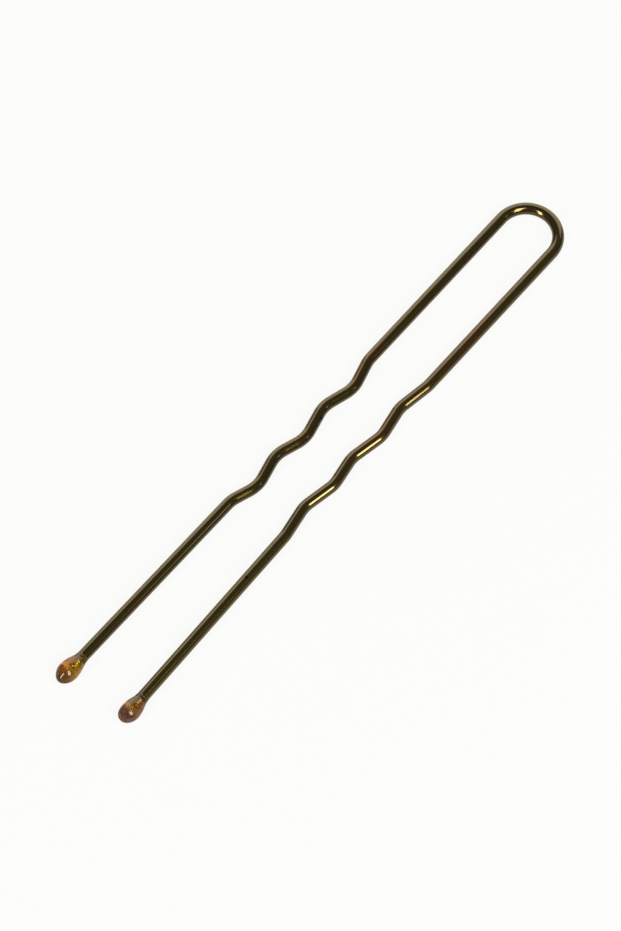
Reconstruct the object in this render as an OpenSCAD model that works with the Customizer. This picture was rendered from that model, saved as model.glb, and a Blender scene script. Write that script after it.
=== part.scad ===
// Crimped U-shaped hair pin. One length of round spring wire makes the crown bend and both legs;
// each leg is crimped inwards three times and its cut end sits in a drop of hardened resin.
// The pin lies flat with the plane of its wire level, the crown towards +Y and the open end towards -Y.
// The wire is given in runs that meet face to face: the crown, then a shank, a crimped run and a tail
// on each side.

/* [Wire] */
// Diameter of the spring wire
wire_d = 1.2; // [0.8:0.05:1.6]
// Centreline radius of the crown bend
crown_r = 3.14; // [2.2:0.02:6]
// Number of crimps on each leg
crimps = 3; // [1:1:4]
// Centreline radius of every crimp bend
crimp_r = 3.4; // [1.5:0.1:4.4]
// Radius that the wire loses where it is stretched round a crimp bend
bend_thinning = 0.01; // [0.005:0.005:0.03]
// Straight wire at each end of a crimped run, outside its first and last corners
crimp_lead = 1.5; // [1.2:0.1:3]

/* [Left leg] */
// Straight run from the crown bend to the first crimp corner
left_bare = 20.75; // [10:0.05:30]
// Run of each inward flank, corner to corner along the leg
left_in_run = 3.65; // [3:0.05:5]
// Depth that each inward flank comes in by
left_in_depth = 0.9; // [0.5:0.02:1.1]
// Run of each outward flank, corner to corner along the leg
left_out_run = 3.2; // [3:0.05:5]
// Depth that each outward flank goes back out by
left_out_depth = 1.04; // [0.5:0.02:1.2]
// Straight run from the last crimp corner to the cut end of the wire
left_open = 23.25; // [12:0.05:35]
// Outward lean of that run in degrees
left_splay = 0.4; // [0:0.1:3]

/* [Right leg] */
// Straight run from the crown bend to the first crimp corner
right_bare = 19.3; // [10:0.05:30]
// Run of each inward flank, corner to corner along the leg
right_in_run = 3.68; // [3:0.02:5]
// Depth that each inward flank comes in by
right_in_depth = 0.67; // [0.4:0.01:1.1]
// Run of each outward flank, corner to corner along the leg
right_out_run = 3.46; // [3:0.02:5]
// Depth that each outward flank goes back out by
right_out_depth = 0.61; // [0.4:0.01:1.1]
// Straight run from the last crimp corner to the cut end of the wire
right_open = 23.25; // [12:0.05:35]
// Outward lean of that run in degrees
right_splay = 1.4; // [0:0.1:3]

/* [Resin tips] */
// Widest diameter of the left drop
left_drop_d = 2.06; // [1.9:0.02:3]
// Length of its rounded nose, from the widest section to the end
left_nose = 1.38; // [1:0.02:2.4]
// Length of its swelling shoulder, from the wire to the widest section
left_shoulder = 1.72; // [1.2:0.02:3]
// Widest diameter of the right drop
right_drop_d = 1.94; // [1.84:0.02:3]
// Length of its rounded nose, from the widest section to the end
right_nose = 1.25; // [1:0.02:2.4]
// Length of its swelling shoulder, from the wire to the widest section
right_shoulder = 1.55; // [1.2:0.02:3]
// Wall of resin at the rim, where a drop starts on the wire
rim_wall = 0.07; // [0.06:0.01:0.15]
// Distance that the wire's cut end stops short of the widest section
cut_back = 0.45; // [0.1:0.05:0.9]
// Sideways sag of each drop off its wire, outwards
drop_sag = 0.05; // [0:0.01:0.05]

/* [Hidden] */
$fn = 48;
// Straight pieces along one quarter of a drop's outline
outline_steps = 8;
// Half turn of the crown bend in degrees
crown_turn = 180;
// Heading of an undeflected leg, straight away from the crown
leg_heading = -90;
// Turn by which a crimp bend runs on into the straight wire at each of its ends
bend_lap = 1;
// Number of the leg point that a crimped run starts at
crimps_from = 1;
LACQUER = [0.29, 0.22, 0.09];
RESIN = [0.72, 0.38, 0.06, 0.75];

wire_r = wire_d / 2;
left_points = leg_points(left_bare, left_in_run, left_in_depth, left_out_run, left_out_depth,
    left_open, left_splay);
right_points = leg_points(right_bare, right_in_run, right_in_depth, right_out_run, right_out_depth,
    right_open, right_splay);

// The drops stand proudest of all, so they set the box round the pin and the height of the wire
left_drop_at = drop_centre(left_points, left_splay);
right_drop_at = drop_centre(right_points, right_splay);
left_reach = left_drop_at.x + drop_sag + left_drop_d / 2;
right_reach = right_drop_at.x + drop_sag + right_drop_d / 2;
crown_reach = crown_r + wire_r;
open_reach = max(left_nose - left_drop_at.y, right_nose - right_drop_at.y);
rest_z = max(left_drop_d, right_drop_d) / 2;
mid_x = (right_reach - left_reach) / 2;
mid_y = (crown_reach - open_reach) / 2;

// A leg's points, with x outwards from the pin's middle line and y back towards the crown: its start, the
// start of the crimped run, every crimp corner, the end of the crimped run and the cut end of the wire
function leg_points(bare, in_run, in_depth, out_run, out_depth, open, splay) =
    let (
        start = [crown_r, 0],
        pitch = in_run + out_run,
        gain = out_depth - in_depth,
        outer = [for (i = [0 : crimps]) [crown_r + i * gain, -bare - i * pitch]],
        inner = [for (i = [0 : crimps - 1]) outer[i] + [-in_depth, -in_run]],
        zigzag = [for (i = [0 : crimps - 1]) each [outer[i], inner[i]]],
        last = outer[crimps],
        leads = [outer[0] + [0, crimp_lead], last + crimp_lead * down_leg(splay)]
    )
    concat([start, leads[0]], zigzag, [last, leads[1], last + open * down_leg(splay)]);

// Unit step away from the crown along a tail that leans outwards by the splay
function down_leg(splay) = [sin(splay), -cos(splay)];

// Number of the leg point that a crimped run ends at
function crimps_to(points) = len(points) - 2;

// Centre of a drop's widest section
function drop_centre(points, splay) = points[len(points) - 1] + cut_back * down_leg(splay);

// Heading of the straight run between two points, in degrees from +X
function heading(from, to) = atan2(to.y - from.y, to.x - from.x);

// Change of heading at point i, between -180 and 180 degrees
function turn(points, i) =
    let (change = heading(points[i], points[i + 1]) - heading(points[i - 1], points[i]))
    change > 180 ? change - 360 : change < -180 ? change + 360 : change;

// True at the points within a crimped run, where the wire turns
function is_bend(points, i) = i > crimps_from && i < crimps_to(points);

// Length that the bend at point i takes off both straight runs beside it
function setback(points, i) = is_bend(points, i) ? crimp_r * tan(abs(turn(points, i)) / 2) : 0;

// Puts the pin's own coordinates, centred on the crown bend, onto the table, the origin below its middle
module on_table() {
    translate([-mid_x, -mid_y, rest_z]) children();
}

// One straight run between point i and the next
module straight_run(points, i) {
    aim = heading(points[i], points[i + 1]);
    along = [cos(aim), sin(aim)];
    start = points[i] + setback(points, i) * along;
    run = norm(points[i + 1] - points[i]) - setback(points, i) - setback(points, i + 1);
    translate([start.x, start.y, 0]) rotate([0, 90, aim]) cylinder(h = run, d = wire_d);
}

// The crimp bend at point i, a slice of a ring tangent to both runs and lapped into them
module crimp_bend(points, i) {
    bend = turn(points, i);
    aim = heading(points[i - 1], points[i]);
    side = sign(bend);
    start = points[i] - setback(points, i) * [cos(aim), sin(aim)];
    centre = start + side * crimp_r * [-sin(aim), cos(aim)];
    from = side > 0 ? aim - 90 : aim + 90 + bend;
    translate([centre.x, centre.y, 0]) rotate(from - bend_lap)
        rotate_extrude(angle = abs(bend) + 2 * bend_lap)
            translate([crimp_r, 0]) circle(r = wire_r - bend_thinning);
}

// The crimped run: straight flanks with every corner between them rounded to the crimp radius
module crimped_run(points) {
    for (i = [crimps_from : crimps_to(points) - 1]) straight_run(points, i);
    for (i = [crimps_from + 1 : crimps_to(points) - 1]) crimp_bend(points, i);
}

// The left side is built as a right side and mirrored
module on_left() {
    color(LACQUER) on_table() mirror([1, 0, 0]) children();
}

module on_right() {
    color(LACQUER) on_table() children();
}

// Outline of a drop from its rim to its nose: a sine swelling, then a quarter of an ellipse
function drop_outline(drop_r, nose, shoulder) =
    let (
        rim_r = wire_r + rim_wall,
        steps = [for (k = [0 : outline_steps]) k * 90 / outline_steps]
    )
    concat(
        [for (a = steps) [rim_r + (drop_r - rim_r) * sin(a), shoulder * (a / 90 - 1)]],
        [for (a = steps) if (a > 0) [a < 90 ? drop_r * cos(a) : 0, nose * sin(a)]]
    );

// A drop with its widest section at the origin and its nose towards +X, bored blind for the wire
module resin_drop(drop_d, nose, shoulder, sag) {
    covered = shoulder - cut_back;
    difference() {
        translate([0, sag, 0]) rotate([0, 90, 0]) rotate_extrude()
            polygon(concat([[0, -shoulder]], drop_outline(drop_d / 2, nose, shoulder)));
        translate([-cut_back - 2 * covered, 0, 0]) rotate([0, 90, 0]) cylinder(h = 2 * covered, d = wire_d);
    }
}

// Puts a drop on the end of a leg; the sag is outwards, which is to the left of the leg's own heading
module drop_on(points, splay, drop_d, nose, shoulder) {
    centre = drop_centre(points, splay);
    translate([centre.x, centre.y, 0]) rotate(leg_heading + splay)
        resin_drop(drop_d, nose, shoulder, drop_sag);
}

// The half-round crown bend that joins the legs
module crown() {
    color(LACQUER) on_table()
        rotate_extrude(angle = crown_turn) translate([crown_r, 0]) circle(d = wire_d);
}

module left_shank() {
    on_left() straight_run(left_points, 0);
}

module left_crimps() {
    on_left() crimped_run(left_points);
}

module left_tail() {
    on_left() straight_run(left_points, crimps_to(left_points));
}

module right_shank() {
    on_right() straight_run(right_points, 0);
}

module right_crimps() {
    on_right() crimped_run(right_points);
}

module right_tail() {
    on_right() straight_run(right_points, crimps_to(right_points));
}

module left_tip() {
    color(RESIN) on_table() mirror([1, 0, 0])
        drop_on(left_points, left_splay, left_drop_d, left_nose, left_shoulder);
}

module right_tip() {
    color(RESIN) on_table()
        drop_on(right_points, right_splay, right_drop_d, right_nose, right_shoulder);
}

crown();
left_shank();
left_crimps();
left_tail();
left_tip();
right_shank();
right_crimps();
right_tail();
right_tip();
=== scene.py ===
"""A crimped hair pin of lacquered spring wire with a resin drop on each cut end, lying on a pale studio floor."""

import math

import bpy
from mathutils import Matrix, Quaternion, Vector


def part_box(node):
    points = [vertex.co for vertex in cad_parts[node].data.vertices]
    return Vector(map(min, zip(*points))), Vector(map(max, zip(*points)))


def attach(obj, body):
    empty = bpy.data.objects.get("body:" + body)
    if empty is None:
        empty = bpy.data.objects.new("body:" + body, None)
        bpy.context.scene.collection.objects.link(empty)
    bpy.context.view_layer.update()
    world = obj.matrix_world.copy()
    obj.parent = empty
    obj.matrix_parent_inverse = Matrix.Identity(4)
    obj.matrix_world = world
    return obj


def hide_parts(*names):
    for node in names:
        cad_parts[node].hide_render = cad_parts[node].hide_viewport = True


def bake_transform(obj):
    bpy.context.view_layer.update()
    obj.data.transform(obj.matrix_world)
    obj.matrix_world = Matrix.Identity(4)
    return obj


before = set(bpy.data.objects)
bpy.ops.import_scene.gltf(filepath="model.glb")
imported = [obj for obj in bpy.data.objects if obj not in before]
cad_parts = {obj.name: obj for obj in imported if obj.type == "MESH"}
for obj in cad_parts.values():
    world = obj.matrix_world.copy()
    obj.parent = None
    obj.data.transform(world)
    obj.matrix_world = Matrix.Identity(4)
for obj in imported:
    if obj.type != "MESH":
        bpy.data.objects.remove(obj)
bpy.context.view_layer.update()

MM = 0.001

# ---- Sizes of the pin, in millimetres unless a comment says otherwise ----

crown_low, crown_high = (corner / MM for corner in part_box("crown"))
WIRE_R = (crown_high.z - crown_low.z) / 2
CROWN_R = (crown_high.x - crown_low.x) / 2 - WIRE_R
CROWN_AT = Vector(((crown_low.x + crown_high.x) / 2, crown_low.y, (crown_low.z + crown_high.z) / 2))

CRIMPS = 3
CRIMP_R = 3.4

# Each leg: runs along it, depths across it, and how far each crimp corner and the cut end stray from even
# crimping, as (along, outwards)
LEGS = {
    "left": {
        "side": -1,
        "bare": 20.75,
        "in_run": 3.65,
        "in_depth": 0.9,
        "out_run": 3.2,
        "out_depth": 1.04,
        "open_run": 23.25,
        "splay": math.radians(0.4),
        "strays": [(0.12, -0.018), (-0.26, 0.004), (-0.04, -0.009), (0.13, -0.032), (0.14, 0.013), (0.2, 0.032),
                   (-0.13, -0.013), (0, -0.025)],
    },
    "right": {
        "side": 1,
        "bare": 19.3,
        "in_run": 3.68,
        "in_depth": 0.67,
        "out_run": 3.46,
        "out_depth": 0.61,
        "open_run": 23.25,
        "splay": math.radians(1.4),
        "strays": [(0.05, 0.01), (0.01, 0.1), (0.05, 0.114), (0.08, 0.051), (-0.05, -0.006), (-0.04, -0.047),
                   (0.05, -0.057), (0, -0.041)],
    },
}

# Each drop: radius, length of the nose, sag outwards off the wire, and as (left flank, right flank) the length
# of the shoulder and how square the nose is
DROPS = {
    "left": {"radius": 1.03, "nose": 1.39, "sag": 0.045, "shoulder": (1.64, 1.74), "squareness": (1.85, 1.85)},
    "right": {"radius": 0.97, "nose": 1.31, "sag": 0.03, "shoulder": (1.4, 1.6), "squareness": (2.5, 1.8)},
}
# Wall of resin where a drop swells from its wire, and how far a thinning film has crept up the wire from there
RIM = 0.055
CREEP = 0.6
# The cut end stops this far short of a drop's widest section, and its edge is filed down by this much
CUT_BACK = 0.45
CUT_BEVEL = 0.06
# The wire is drawn down to this radius inside the resin: it begins and ends these lengths before the cut end
END_R = 0.36
TAPER_FROM = 1.2
TAPER_TO = 0.95
# The bore's wall and its floor sink this far into the wire, so that no gap shows between wire and resin
WALL_SINK = 0.015
FLOOR_SINK = 0.12

# Each leg's piece takes in this much of the crown bend, in radians. The crown's own piece lies between those
# seams, which are this far along the wire from the middle of the crown
SEAM = math.radians(45)
SEAM_RUN = CROWN_R * (math.pi / 2 - SEAM)

# Sides of every round section, and the step from one ring of points to the next along the wire
RING_SIDES = 56
RING_STEP = 0.09
# Rings of points over a drop's film, up its shoulder and round its nose
FILM_RINGS = 14
SHOULDER_RINGS = 26
NOSE_RINGS = 40

# ---- Finishes ----

# The mesh attribute that holds each point's place on the straightened wire
WIRE_PLACE = "wire_place"

# Tones of the lacquer: its ground, its redder blotches, its pits and its chips
LACQUER = {"ground": (0.074, 0.051, 0.004, 1), "blotch": (0.1, 0.048, 0.004, 1), "pit": (0.02, 0.016, 0.01, 1),
           "chip": (0.006, 0.004, 0.004, 1)}
# Scales that draw the lacquer's blotches and its ripple out along the wire
BLOTCHES_DRAWN = (0.12, 1.0, 1.0)
RIPPLE_DRAWN = (0.1, 1.0, 1.0)
# Two chips in the lacquer, one on each leg: the spot on the straightened wire and how far each reaches
CHIPS = (((-34.1, 0.54, 0.27), 0.3), ((52.0, -0.02, 0.6), 0.22))
# A chip is bare within this share of its reach
CHIP_CORE = 0.6

# Tones of each drop's resin: where it is thin, where it has run outwards and is thick, in its nose, whose
# darker tone is painted shade, and in the swirls; and the size of those swirls
RESINS = {
    "left": {"thin": (0.48, 0.27, 0.012, 1), "thick": (0.5, 0.12, 0.006, 1), "nose": (0.13, 0.055, 0.01, 1),
             "swirl": (0.12, 0.03, 0.008, 1), "swirls": 0.5},
    "right": {"thin": (0.42, 0.2, 0.02, 1), "thick": (0.32, 0.12, 0.045, 1), "nose": (0.24, 0.1, 0.06, 1),
              "swirl": (0.07, 0.03, 0.025, 1), "swirls": 0.3},
}
DUST = (0.12, 0.03, 0.01, 1)
# The resin turns thick between these shares of a drop's width, counted outwards, and turns to the nose's darker
# tone, painted shade, between these lengths from its end
THICK_FROM, THICK_TO = 0.35, 0.85
NOSE_SHADE_FROM, NOSE_SHADE_TO = 1.6, 0.5

WETTED_METAL = (0.6, 0.62, 0.25, 1)

# Noise above this level less the spread starts a blotch, and is full blotch this much higher
BLOTCH_LEVEL = 0.95
BLOTCH_EDGE = 0.2
# The finer ripple of a flowed skin is this many times as fine as the slow one
FINER = 5

# The tone of the floor, and of an effect's colours until a material sets them
MID_GREY = (0.5, 0.5, 0.5, 1)
# How far each kind of ray sees the floor as plain white instead
WHITE = (1, 1, 1, 1)
WHITE_SHARES = {"Is Camera Ray": 0.9, "Is Glossy Ray": 0.1, "Is Transmission Ray": 0.4}

# Places of the share, the two tones and the result among the sockets of a Mix node that is set to colours
MIX_SHARE, MIX_FIRST, MIX_SECOND = 0, 6, 7
MIX_RESULT = 2

# ---- Camera and studio, in metres unless a comment says otherwise ----

LOOK_AT = Vector((0.043, -2.058, 1.066)) * MM
LOOK_ALONG = Vector((-0.2989, 0.3620, -0.8830)).normalized()
CAMERA_AWAY = 0.537
# The lens, as a focal length in pixels of a picture this high, and the sensor's size in millimetres
FOCAL_PIXELS = 5562
PICTURE_HEIGHT = 931
SENSOR = 36
# Nothing nearer or farther than this is drawn
NEAREST, FARTHEST = 0.01, 50

# Every lamp hangs this far from the pin
LAMPS_AWAY = 0.8
SOFT_BOX_TINT = (1.0, 0.93, 0.83)
SLIM_LAMP_TINT = (1.0, 0.96, 0.78)
ROOM_TINT = (0.9, 0.95, 1, 1)
ROOM_LEVEL = 0.15
# The floor reaches this far each way
FLOOR_REACH = 4.0


def aim_camera():
    """A long lens 62 degrees above the plane of the wire, with the crown up and to the right."""
    camera = bpy.data.objects.new("camera", bpy.data.cameras.new("camera"))
    bpy.context.scene.collection.objects.link(camera)
    camera.location = LOOK_AT - LOOK_ALONG * CAMERA_AWAY
    camera.rotation_mode = "QUATERNION"
    camera.rotation_quaternion = LOOK_ALONG.to_track_quat("-Z", "Y")
    camera.data.sensor_fit = "AUTO"
    camera.data.sensor_width = SENSOR
    camera.data.lens = FOCAL_PIXELS / PICTURE_HEIGHT * SENSOR
    camera.data.clip_start, camera.data.clip_end = NEAREST, FARTHEST
    bpy.context.scene.camera = camera
    bpy.context.scene.view_settings.view_transform = "Standard"


def heading(azimuth, elevation):
    """Unit step towards a point of the sky, from degrees round from +X and up from the floor."""
    a, e = math.radians(azimuth), math.radians(elevation)
    return Vector((math.cos(e) * math.cos(a), math.cos(e) * math.sin(a), math.sin(e)))


def hang_lamp(name, azimuth, elevation, width, height, brightness, lean=0, tint=SLIM_LAMP_TINT):
    """A soft flat lamp that faces the pin; width and height are the degrees of sky that it covers, and lean
    tips its top towards the right."""
    lamp = bpy.data.objects.new(name, bpy.data.lights.new(name, "AREA"))
    bpy.context.scene.collection.objects.link(lamp)
    lamp.data.shape = "RECTANGLE"
    lamp.data.color = tint
    lamp.data.size = 2 * LAMPS_AWAY * math.tan(math.radians(width) / 2)
    lamp.data.size_y = 2 * LAMPS_AWAY * math.tan(math.radians(height) / 2)
    lamp.data.energy = math.pi * lamp.data.size * lamp.data.size_y * brightness
    to_lamp = heading(azimuth, elevation)
    lamp.location = to_lamp * LAMPS_AWAY
    lamp.rotation_mode = "QUATERNION"
    facing = (-to_lamp).to_track_quat("-Z", "Y")
    lamp.rotation_quaternion = facing @ Quaternion((0, 0, 1), -math.radians(lean))


def hang_lamps():
    """One broad soft box behind the crown's left, and slim lamps round the other sides."""
    hang_lamp("soft_box", azimuth=122, elevation=24, width=82, height=57, brightness=1.75, tint=SOFT_BOX_TINT)
    hang_lamp("right_lamp", azimuth=11, elevation=37, width=9, height=29, brightness=14, lean=12)
    hang_lamp("strip_lamp", azimuth=24, elevation=33, width=4, height=22, brightness=1.7, lean=14)
    hang_lamp("far_right_lamp", azimuth=343.5, elevation=47, width=18, height=46, brightness=11)
    hang_lamp("front_lamp", azimuth=264, elevation=31, width=13, height=46, brightness=13)


def tell_lamp(lamp, state, *pieces):
    """A lamp that is told to INCLUDE some pieces lights nothing else, and one that is told to EXCLUDE them lights
    everything else, as if a flag shaded them."""
    told = bpy.data.collections.new(f"{lamp}_pieces")
    for name in pieces:
        told.objects.link(bpy.data.objects[name])
    bpy.data.objects[lamp].light_linking.receiver_collection = told
    for entry in told.collection_objects:
        entry.light_linking.link_state = state


def flag_lamps():
    """Puts each highlight only where the pin has it: the left wire shows a faint strip in place of the right
    lamp, which the crown and the drops don't show either, and the right drop doesn't show the front lamp."""
    tell_lamp("strip_lamp", "INCLUDE", "left_wire")
    tell_lamp("right_lamp", "EXCLUDE", "left_wire", "crown_wire", "left_drop", "right_drop")
    tell_lamp("front_lamp", "EXCLUDE", "right_drop")


def light_room():
    """A dim room round the lamps, a little blue."""
    room = bpy.data.worlds.new("room")
    room.use_nodes = True
    set_sockets(room.node_tree.nodes["Background"], Color=ROOM_TINT, Strength=ROOM_LEVEL)
    bpy.context.scene.world = room


def lay_floor():
    """A pale floor that touches the crown and the fuller drop, so that the pin lies on three points."""
    crown_foot = Vector((0, crown_high.y, crown_low.z)) * MM
    drop_low, drop_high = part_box("left_tip")
    drop_foot = Vector((0, (drop_low.y + drop_high.y) / 2, drop_low.z))
    across = Vector((FLOOR_REACH, 0, 0))
    up = (crown_foot - drop_foot).normalized() * FLOOR_REACH
    corners = [drop_foot - across - up, drop_foot + across - up, drop_foot + across + up, drop_foot - across + up]
    mesh = bpy.data.meshes.new("floor")
    mesh.from_pydata([tuple(corner) for corner in corners], [], [(0, 1, 2, 3)])
    floor = bpy.data.objects.new("floor", mesh)
    bpy.context.scene.collection.objects.link(floor)
    mesh.materials.append(white_sweep())


# ---- Nodes ----


def feed(tree, socket, value):
    """Links an output to this input, or sets the input's own value."""
    if isinstance(value, bpy.types.NodeSocket):
        tree.links.new(value, socket)
    else:
        socket.default_value = value


def add_node(tree, kind, settings=None, **inputs):
    """One node with its settings, and its inputs given by name: a value, or a socket to link."""
    made = tree.nodes.new(kind)
    for name, value in (settings or {}).items():
        setattr(made, name, value)
    for name, value in inputs.items():
        feed(tree, made.inputs[name.replace("_", " ")], value)
    return made


def set_sockets(shader, **values):
    """Sets a shader's own sockets, given by name, all over its surface."""
    for name, value in values.items():
        shader.inputs[name.replace("_", " ")].default_value = value


def calculate(tree, operation, *values):
    """The result of one Math node on these values or sockets, in order."""
    made = add_node(tree, "ShaderNodeMath", {"operation": operation})
    for socket, value in zip(made.inputs, values):
        feed(tree, socket, value)
    return made.outputs[0]


def smooth_step(tree, value, start, end):
    """0 up to the start and 1 from the end, with a smooth rise between them; the end may be the lower one."""
    step = add_node(tree, "ShaderNodeMapRange", {"interpolation_type": "SMOOTHSTEP"}, Value=value, From_Min=start,
                    From_Max=end)
    return step.outputs[0]


def mix_tones(tree, share, first, second):
    """The first tone, turned towards the second by a share."""
    mix = add_node(tree, "ShaderNodeMix", {"data_type": "RGBA"})
    for socket, value in ((MIX_SHARE, share), (MIX_FIRST, first), (MIX_SECOND, second)):
        feed(tree, mix.inputs[socket], value)
    return mix.outputs[MIX_RESULT]


def new_group(name, inputs, outputs):
    """A node group with these inputs, as name: (socket kind, value), and outputs, as name: socket kind."""
    group = bpy.data.node_groups.new(name, "ShaderNodeTree")
    for socket_name, (kind, value) in inputs.items():
        socket = group.interface.new_socket(socket_name, in_out="INPUT", socket_type=kind)
        if value is not None:
            socket.default_value = value
    for socket_name, kind in outputs.items():
        group.interface.new_socket(socket_name, in_out="OUTPUT", socket_type=kind)
    return group, add_node(group, "NodeGroupInput").outputs, add_node(group, "NodeGroupOutput").inputs


def use_group(tree, group, **inputs):
    """A group placed in a material with its own values."""
    return add_node(tree, "ShaderNodeGroup", {"node_tree": group}, **inputs)


# ---- Effects that more than one finish uses ----


def blotch_group():
    """Soft blotches of one tone in another; size is in millimetres and spread is how much the second covers."""
    group, given, result = new_group(
        "blotches",
        {"Place": ("NodeSocketVector", None), "Size": ("NodeSocketFloat", 2.0), "Spread": ("NodeSocketFloat", 0.5),
         "Ground": ("NodeSocketColor", MID_GREY), "Blotch": ("NodeSocketColor", MID_GREY)},
        {"Color": "NodeSocketColor", "Mask": "NodeSocketFloat"},
    )
    scale = calculate(group, "DIVIDE", 1, given["Size"])
    cloud = add_node(group, "ShaderNodeTexNoise", Vector=given["Place"], Scale=scale, Detail=3.0, Roughness=0.55)
    edge = calculate(group, "SUBTRACT", BLOTCH_LEVEL, given["Spread"])
    mask = smooth_step(group, cloud.outputs["Fac"], edge, calculate(group, "ADD", edge, BLOTCH_EDGE))
    feed(group, result["Color"], mix_tones(group, mask, given["Ground"], given["Blotch"]))
    feed(group, result["Mask"], mask)
    return group


def dimple_group():
    """Height of a flowed skin: a slow ripple with a finer one on it; size is in millimetres."""
    group, given, result = new_group(
        "dimples",
        {"Place": ("NodeSocketVector", None), "Size": ("NodeSocketFloat", 0.5), "Fine": ("NodeSocketFloat", 0.3)},
        {"Height": "NodeSocketFloat"},
    )
    scale = calculate(group, "DIVIDE", 1, given["Size"])
    slow = add_node(group, "ShaderNodeTexNoise", Vector=given["Place"], Scale=scale, Detail=1.0)
    finer = calculate(group, "MULTIPLY", scale, FINER)
    quick = add_node(group, "ShaderNodeTexNoise", Vector=given["Place"], Scale=finer, Detail=2.0)
    height = calculate(group, "MULTIPLY_ADD", quick.outputs["Fac"], given["Fine"], slow.outputs["Fac"])
    feed(group, result["Height"], height)
    return group


def speck_group():
    """Scattered small specks: dust under the skin, or pits; size and spacing are in millimetres."""
    group, given, result = new_group(
        "specks",
        {"Place": ("NodeSocketVector", None), "Size": ("NodeSocketFloat", 0.1), "Spacing": ("NodeSocketFloat", 1.5)},
        {"Mask": "NodeSocketFloat"},
    )
    scale = calculate(group, "DIVIDE", 1, given["Spacing"])
    cells = add_node(group, "ShaderNodeTexVoronoi", Vector=given["Place"], Scale=scale, Randomness=1.0)
    reach = calculate(group, "DIVIDE", given["Size"], given["Spacing"])
    feed(group, result["Mask"], smooth_step(group, cells.outputs["Distance"], reach, 0.0))
    return group


# ---- Materials ----


def new_material(name):
    """An empty material and its tree, with a Principled BSDF wired to the output."""
    material = bpy.data.materials.new(name)
    material.use_nodes = True
    tree = material.node_tree
    return material, tree, tree.nodes["Principled BSDF"]


def white_sweep():
    """Matt white floor: the camera, gloss and glass see it close to plain white, with the pin's shadow on it."""
    material, tree, _ = new_material("white_sweep")
    tree.nodes.clear()
    output = add_node(tree, "ShaderNodeOutputMaterial")
    paper = add_node(tree, "ShaderNodeBsdfDiffuse", Color=MID_GREY)
    white = add_node(tree, "ShaderNodeEmission", Color=WHITE, Strength=1.0)
    path = add_node(tree, "ShaderNodeLightPath")
    total = 0
    for ray, share in WHITE_SHARES.items():
        total = calculate(tree, "MULTIPLY_ADD", path.outputs[ray], share, total)
    mix = add_node(tree, "ShaderNodeMixShader", Fac=total)
    tree.links.new(paper.outputs[0], mix.inputs[1])
    tree.links.new(white.outputs[0], mix.inputs[2])
    tree.links.new(mix.outputs[0], output.inputs["Surface"])
    return material


def chip_mask(tree, place, spot, reach):
    """1 inside a small chip at this spot on the wire, and 0 beyond its reach."""
    away = add_node(tree, "ShaderNodeVectorMath", {"operation": "DISTANCE"})
    feed(tree, away.inputs[0], place)
    feed(tree, away.inputs[1], spot)
    return smooth_step(tree, away.outputs["Value"], reach, reach * CHIP_CORE)


def lacquered_wire(blotches, dimples, specks):
    """Brown-gold lacquer over steel: a metallic ground with draw lines, below a clear coat that has flowed."""
    material, tree, skin = new_material("lacquered_wire")
    place = add_node(tree, "ShaderNodeAttribute", {"attribute_name": WIRE_PLACE}).outputs["Vector"]
    along = add_node(tree, "ShaderNodeMapping", Vector=place, Scale=BLOTCHES_DRAWN)
    tone = use_group(tree, blotches, Place=along.outputs[0], Size=1.2, Spread=0.45, Ground=LACQUER["ground"],
                     Blotch=LACQUER["blotch"])
    pits = use_group(tree, specks, Place=place, Size=0.07, Spacing=1.6)
    colour = mix_tones(tree, pits.outputs["Mask"], tone.outputs["Color"], LACQUER["pit"])
    for spot, reach in CHIPS:
        colour = mix_tones(tree, chip_mask(tree, place, spot, reach), colour, LACQUER["chip"])
    feed(tree, skin.inputs["Base Color"], colour)
    set_sockets(skin, Metallic=0.9, Specular_IOR_Level=0.2, Roughness=0.15, Coat_Weight=0.85, Coat_Roughness=0.1,
                Coat_IOR=1.5)

    drawn = add_node(tree, "ShaderNodeMapping", Vector=place, Scale=RIPPLE_DRAWN)
    ripple = use_group(tree, dimples, Place=drawn.outputs[0], Size=0.5, Fine=0.02)
    bump = add_node(tree, "ShaderNodeBump", Strength=0.08, Distance=0.02 * MM, Height=ripple.outputs["Height"])
    feed(tree, skin.inputs["Normal"], bump.outputs[0])
    return material


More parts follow.
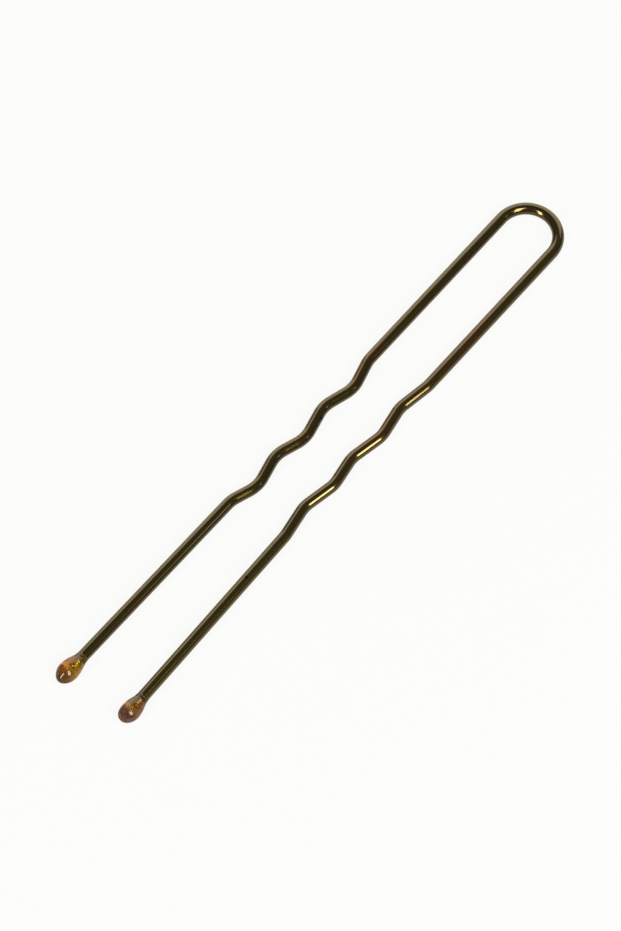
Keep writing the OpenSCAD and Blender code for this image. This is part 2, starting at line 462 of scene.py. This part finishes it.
def amber_resin(side, blotches, dimples, specks):
    """Hazy amber resin: more orange where it has run outwards, browner in the nose as painted shade, with swirls and
    dust in it.
    """
    material, tree, skin = new_material(f"{side}_resin")
    tones = RESINS[side]
    low, high = (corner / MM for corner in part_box(f"{side}_tip"))
    inner, outer = (high.x, low.x) if LEGS[side]["side"] < 0 else (low.x, high.x)
    place = add_node(tree, "ShaderNodeTexCoord").outputs["Object"]
    in_mm = add_node(tree, "ShaderNodeMapping", Vector=place, Scale=(1 / MM, 1 / MM, 1 / MM)).outputs[0]
    spot = add_node(tree, "ShaderNodeSeparateXYZ", Vector=in_mm)
    outwards = smooth_step(tree, spot.outputs["X"], inner + (outer - inner) * THICK_FROM,
                           inner + (outer - inner) * THICK_TO)
    tone = mix_tones(tree, outwards, tones["thin"], tones["thick"])
    # Painted shade: the resin turns to the nose's darker tone towards the end of the nose
    nose_shade = smooth_step(tree, spot.outputs["Y"], low.y + NOSE_SHADE_FROM, low.y + NOSE_SHADE_TO)
    tone = mix_tones(tree, nose_shade, tone, tones["nose"])
    swirl = use_group(tree, blotches, Place=in_mm, Size=tones["swirls"], Spread=0.47, Ground=tone,
                      Blotch=tones["swirl"])
    dust = use_group(tree, specks, Place=in_mm, Size=0.06, Spacing=0.45)
    feed(tree, skin.inputs["Base Color"], mix_tones(tree, dust.outputs["Mask"], swirl.outputs["Color"], DUST))
    set_sockets(skin, Metallic=0.0, Roughness=0.05, IOR=1.5, Transmission_Weight=0.88)

    ripple = use_group(tree, dimples, Place=in_mm, Size=0.9, Fine=0.0)
    bump = add_node(tree, "ShaderNodeBump", Strength=0.15, Distance=0.03 * MM, Height=ripple.outputs["Height"])
    feed(tree, skin.inputs["Normal"], bump.outputs[0])
    return material


def wetted_end():
    """The last of the wire, which the resin has wetted: warm bare metal."""
    material, _, skin = new_material("wetted_end")
    set_sockets(skin, Base_Color=WETTED_METAL, Metallic=1.0, Roughness=0.28)
    return material


# ---- The path of the wire ----


def leg_corners(leg):
    """Corners of a leg from the end of the crown bend to the cut end, x outwards and y towards the crown."""
    corners = [(CROWN_R, -leg["bare"])]
    for _ in range(CRIMPS):
        x, y = corners[-1]
        corners.append((x - leg["in_depth"], y - leg["in_run"]))
        corners.append((x - leg["in_depth"] + leg["out_depth"], y - leg["in_run"] - leg["out_run"]))
    x, y = corners[-1]
    corners.append((x + leg["open_run"] * math.sin(leg["splay"]), y - leg["open_run"] * math.cos(leg["splay"])))
    bent = [Vector((x + out, y - along)) for (x, y), (along, out) in zip(corners, leg["strays"])]
    return [Vector((CROWN_R, 0))] + bent


def straight(start, end, step):
    """Stations (point, aim) from start up to just before end."""
    run = end - start
    count = max(1, round(run.length / step))
    aim = math.atan2(run.y, run.x)
    return [(start + run * k / count, aim) for k in range(count)]


def arc(centre, radius, from_angle, to_angle, step):
    """Stations (point, aim) round an arc, up to just before its end; angles point from the centre."""
    count = max(2, round(radius * abs(to_angle - from_angle) / step))
    turn = math.copysign(math.pi / 2, to_angle - from_angle)
    angles = [from_angle + (to_angle - from_angle) * k / count for k in range(count)]
    return [(centre + radius * Vector((math.cos(a), math.sin(a))), a + turn) for a in angles]


def corner_bend(before, corner, after, radius, step):
    """Stations round the rounded corner, and the points where it leaves the first run and meets the next."""
    into, out = (corner - before).normalized(), (after - corner).normalized()
    turn = math.atan2(into.x * out.y - into.y * out.x, into.dot(out))
    setback = radius * math.tan(abs(turn) / 2)
    start, end = corner - into * setback, corner + out * setback
    side = math.copysign(1, turn)
    centre = start + side * radius * Vector((-into.y, into.x))
    from_angle = math.atan2(start.y - centre.y, start.x - centre.x)
    return arc(centre, radius, from_angle, from_angle + turn, step), start, end


def leg_path(leg):
    """Stations of a leg from its seam in the crown bend to its cut end, in the right leg's sense."""
    corners = leg_corners(leg)
    path = arc(Vector((0, 0)), CROWN_R, SEAM, 0, RING_STEP / 2)
    at = corners[0]
    for before, corner, after in zip(corners, corners[1:], corners[2:]):
        bend, start, end = corner_bend(before, corner, after, CRIMP_R, RING_STEP)
        path += straight(at, start, RING_STEP) + bend
        at = end
    path += straight(at, corners[-1], RING_STEP)
    return path + [(corners[-1], path[-1][1])]


def in_frame(leg, station):
    """A leg's station in the frame: its centre, its aim along the wire, and its step across towards +X."""
    point, aim = station
    centre = CROWN_AT + Vector((leg["side"] * point.x, point.y, 0))
    along = Vector((leg["side"] * math.cos(aim), math.sin(aim), 0))
    across = Vector((-along.y, along.x, 0))
    return centre, along, across


# ---- The bent wire ----


def finished_mesh(name, points, faces, flat_faces):
    """An object with this mesh and smooth faces, apart from the last flat ones, whose edges are sharp."""
    mesh = bpy.data.meshes.new(name)
    mesh.from_pydata([tuple(point) for point in points], [], faces)
    mesh.update()
    mesh.polygons.foreach_set("use_smooth", [True] * (len(faces) - flat_faces) + [False] * flat_faces)
    sharp = mesh.attributes.new("sharp_edge", "BOOLEAN", "EDGE")
    rims = {tuple(sorted(key)) for face in mesh.polygons[-flat_faces:] for key in face.edge_keys}
    for edge in mesh.edges:
        sharp.data[edge.index].value = tuple(sorted(edge.vertices)) in rims
    thing = bpy.data.objects.new(name, mesh)
    bpy.context.scene.collection.objects.link(thing)
    return thing


def join_rings(faces, first, second):
    """Faces from one ring of points to another, which face outwards where the second lies further along."""
    for k in range(RING_SIDES):
        after = (k + 1) % RING_SIDES
        faces.append((first * RING_SIDES + k, first * RING_SIDES + after,
                      second * RING_SIDES + after, second * RING_SIDES + k))


def wire_mesh(name, stations, radii, first_run, sense):
    """A closed round bar through the stations (centre, along, across), with flat ends and sharp end edges.

    Every point keeps its place on the straightened wire: its run from the middle of the crown, and its spot
    round the section."""
    points, faces, places = [], [], []
    up = Vector((0, 0, 1))
    run, before = first_run, stations[0][0]
    for (centre, _, across), radius in zip(stations, radii):
        run += sense * (centre - before).length
        before = centre
        for k in range(RING_SIDES):
            a = 2 * math.pi * k / RING_SIDES
            points.append((centre + radius * (math.cos(a) * across + math.sin(a) * up)) * MM)
            places.append((run, radius * math.cos(a), radius * math.sin(a)))
    for ring in range(len(stations) - 1):
        join_rings(faces, ring, ring + 1)
    last = (len(stations) - 1) * RING_SIDES
    faces.append(tuple(reversed(range(RING_SIDES))))
    faces.append(tuple(range(last, last + RING_SIDES)))
    wire = finished_mesh(name, points, faces, flat_faces=2)
    attribute = wire.data.attributes.new(WIRE_PLACE, "FLOAT_VECTOR", "POINT")
    attribute.data.foreach_set("vector", [value for place in places for value in place])
    return wire


def bend_crown(lacquer):
    """The middle of the crown bend, between the two seams."""
    path = arc(Vector((0, 0)), CROWN_R, math.pi - SEAM, SEAM, RING_STEP / 2)
    path.append((CROWN_R * Vector((math.cos(SEAM), math.sin(SEAM))), SEAM - math.pi / 2))
    stations = [in_frame(LEGS["right"], station) for station in path]
    crown = wire_mesh("crown_wire", stations, [WIRE_R] * len(stations), first_run=-SEAM_RUN, sense=1)
    crown.data.materials.append(lacquer)
    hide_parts("crown")
    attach(crown, "crown_bend")


def end_radius(left_over):
    """Radius of the wire this far before its cut end: full, then drawn down where the resin covers it."""
    share = min(1, max(0, (left_over - TAPER_TO) / (TAPER_FROM - TAPER_TO)))
    return END_R + (WIRE_R - END_R) * share


def bend_leg(side, lacquer, wetted):
    """A leg with its share of the crown bend, crimped as it is on the real pin, down to the cut end."""
    leg = LEGS[side]
    stations = [in_frame(leg, station) for station in leg_path(leg)]
    cut_end, along, _ = stations[-1]
    radii = [end_radius((cut_end - centre).dot(along)) for centre, _, _ in stations]
    radii[-1] -= CUT_BEVEL
    wire = wire_mesh(f"{side}_wire", stations, radii, first_run=leg["side"] * SEAM_RUN, sense=leg["side"])
    wire.data.materials.append(lacquer)
    wire.data.materials.append(wetted)
    for face in wire.data.polygons:
        if (cut_end - Vector(face.center) / MM).dot(along) < TAPER_FROM:
            face.material_index = 1
    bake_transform(wire)
    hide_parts(f"{side}_shank", f"{side}_crimps", f"{side}_tail")


# ---- The resin drops ----


def flank_point(drop, ring, shoulder):
    """Station and radius of one flank at a ring between the top of the film and the widest section."""
    bore_r, rim_r = WIRE_R - WALL_SINK, WIRE_R + RIM
    if ring < FILM_RINGS:
        t = ring / FILM_RINGS
        return -shoulder - CREEP * (1 - t), bore_r + (rim_r - bore_r) * t * t * (3 - 2 * t)
    t = (ring - FILM_RINGS) / SHOULDER_RINGS
    return -shoulder * (1 - t), rim_r + (drop["radius"] - rim_r) * math.sin(math.pi / 2 * t)


def nose_point(drop, ring, square):
    """Station and radius of one flank at a ring between the widest section and the end of the nose."""
    a = math.pi / 2 * ring / NOSE_RINGS
    return drop["nose"] * math.sin(a) ** (2 / square), drop["radius"] * math.cos(a) ** (2 / square)


def drop_outline(drop):
    """Rows of (station, radius) pairs for the left and the right flank, from the film to just short of the nose."""
    rows = [[flank_point(drop, ring, shoulder) for shoulder in drop["shoulder"]]
            for ring in range(FILM_RINGS + SHOULDER_RINGS)]
    return rows + [[nose_point(drop, ring, square) for square in drop["squareness"]] for ring in range(NOSE_RINGS)]


def drop_mesh(name, drop, side, centre, along, across):
    """A closed drop with a blind bore: its outside from the film to the nose, and the bore, which narrows as the
    wire in it does, from the film to its floor."""
    up = Vector((0, 0, 1))
    points, faces = [], []

    def add_ring(stations, radii, sag):
        for k in range(RING_SIDES):
            a = 2 * math.pi * k / RING_SIDES
            share = (1 + math.cos(a)) / 2
            station = stations[0] + (stations[1] - stations[0]) * share
            radius = radii[0] + (radii[1] - radii[0]) * share
            spot = station * along + (side * sag + radius * math.cos(a)) * across + radius * math.sin(a) * up
            points.append((centre + spot) * MM)

    outline = drop_outline(drop)
    for (left_station, left_radius), (right_station, right_radius) in outline:
        swelling = (max(left_radius, right_radius) - WIRE_R - RIM) / (drop["radius"] - WIRE_R - RIM)
        sag = drop["sag"] * (1 if left_station > 0 else min(1, max(0, swelling)))
        add_ring((left_station, right_station), (left_radius, right_radius), sag)
    for ring in range(len(outline) - 1):
        join_rings(faces, ring, ring + 1)

    bore = ((TAPER_FROM, WIRE_R), (TAPER_TO, END_R), (FLOOR_SINK, END_R))
    before = 0
    for ring, (left_over, radius) in enumerate(bore, start=len(outline)):
        add_ring([-CUT_BACK - left_over] * 2, [radius - WALL_SINK] * 2, sag=0)
        join_rings(faces, ring, before)
        before = ring

    nose = len(points)
    points.append((centre + drop["nose"] * along + side * drop["sag"] * across) * MM)
    last = (len(outline) - 1) * RING_SIDES
    for k in range(RING_SIDES):
        faces.append((last + k, last + (k + 1) % RING_SIDES, nose))
    faces.append(tuple(range(before * RING_SIDES, (before + 1) * RING_SIDES)))
    return finished_mesh(name, points, faces, flat_faces=1)


def set_drop(side, resin):
    """A drop of resin on a cut end, where the wire as it is bent really ends."""
    leg, drop = LEGS[side], DROPS[side]
    cut_end, along, across = in_frame(leg, leg_path(leg)[-1])
    bead = drop_mesh(f"{side}_drop", drop, leg["side"], cut_end + CUT_BACK * along, along, across)
    bead.data.materials.append(resin)
    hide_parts(f"{side}_tip")
    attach(bead, f"{side}_side")


aim_camera()
hang_lamps()
light_room()
lay_floor()
effects = (blotch_group(), dimple_group(), speck_group())
lacquer = lacquered_wire(*effects)
bend_crown(lacquer)
wetted = wetted_end()
for side in LEGS:
    bend_leg(side, lacquer, wetted)
    set_drop(side, amber_resin(side, *effects))
flag_lamps()
